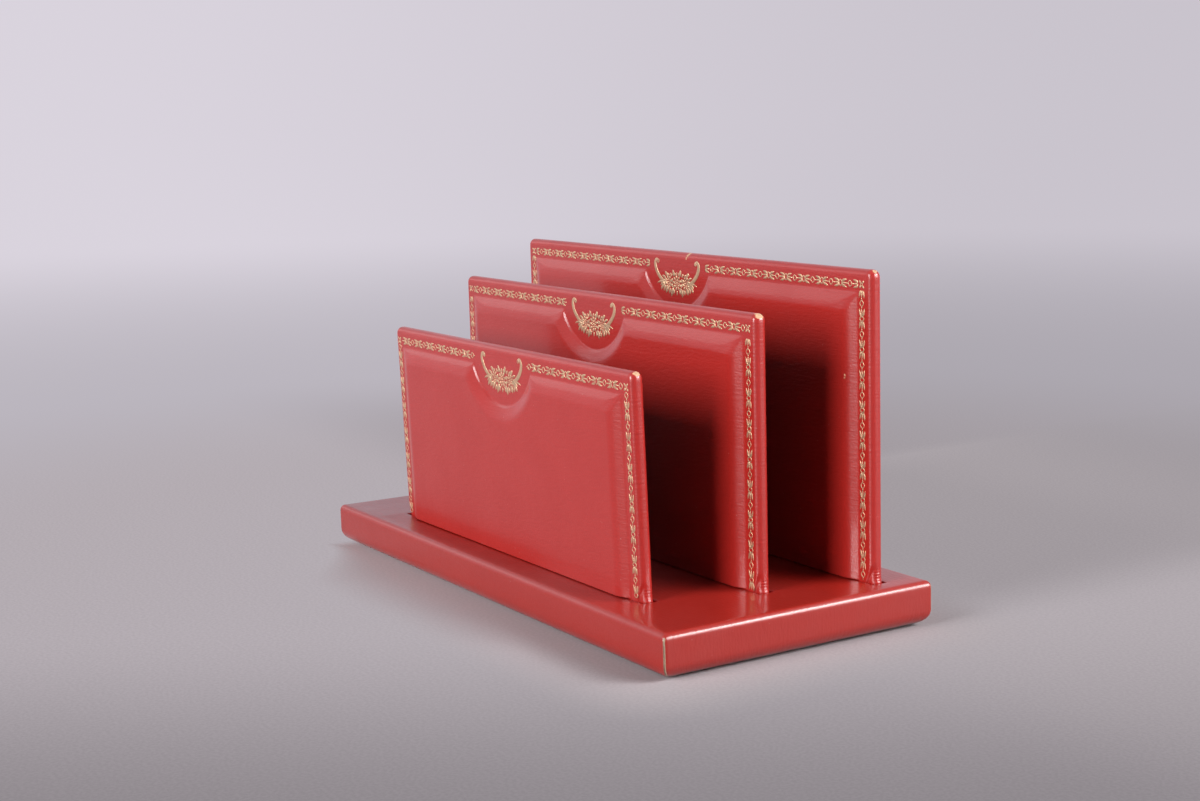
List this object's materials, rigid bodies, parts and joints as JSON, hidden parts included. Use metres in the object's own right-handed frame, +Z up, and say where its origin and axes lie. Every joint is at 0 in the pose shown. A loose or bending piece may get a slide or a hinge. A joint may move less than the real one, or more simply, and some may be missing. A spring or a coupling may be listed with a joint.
{
  "type": "letter holder",
  "caption": "Red leather desk letter holder: stepped upright leaves with raised notched panels, standing in grooves in a flat covered base, for sorting envelopes.",
  "frame": {"origin": "middle of the underside, on the surface that the holder stands on", "axes": "+X along the base's long side, -Y the front that the raised panels face, +Z up"},
  "size_m": [0.25, 0.109, 0.1221],
  "materials": {
    "red_leather": "polished fine-grained red leather with gilt tooling",
    "red_lining": "smooth dark red leather, less polished",
    "gilding": "gold leaf tooled into the leather, a little worn",
    "base_wood": "planed softwood",
    "leaf_board": "thin plywood",
    "card": "grey pulp card",
    "felt": "dark red wool felt"
  },
  "bodies": {
    "root": {"base_board": "base_wood", "base_leather": "red_leather", "base_felt": "felt", "front_leaf_board": "leaf_board", "front_leaf_raised_card": "card", "front_leaf_leather": "red_leather", "front_leaf_lining": "red_lining", "middle_leaf_board": "leaf_board", "middle_leaf_raised_card": "card", "middle_leaf_leather": "red_leather", "middle_leaf_lining": "red_lining", "rear_leaf_board": "leaf_board", "rear_leaf_raised_card": "card", "rear_leaf_leather": "red_leather", "rear_leaf_lining": "red_lining"}
  },
  "joints": []
}
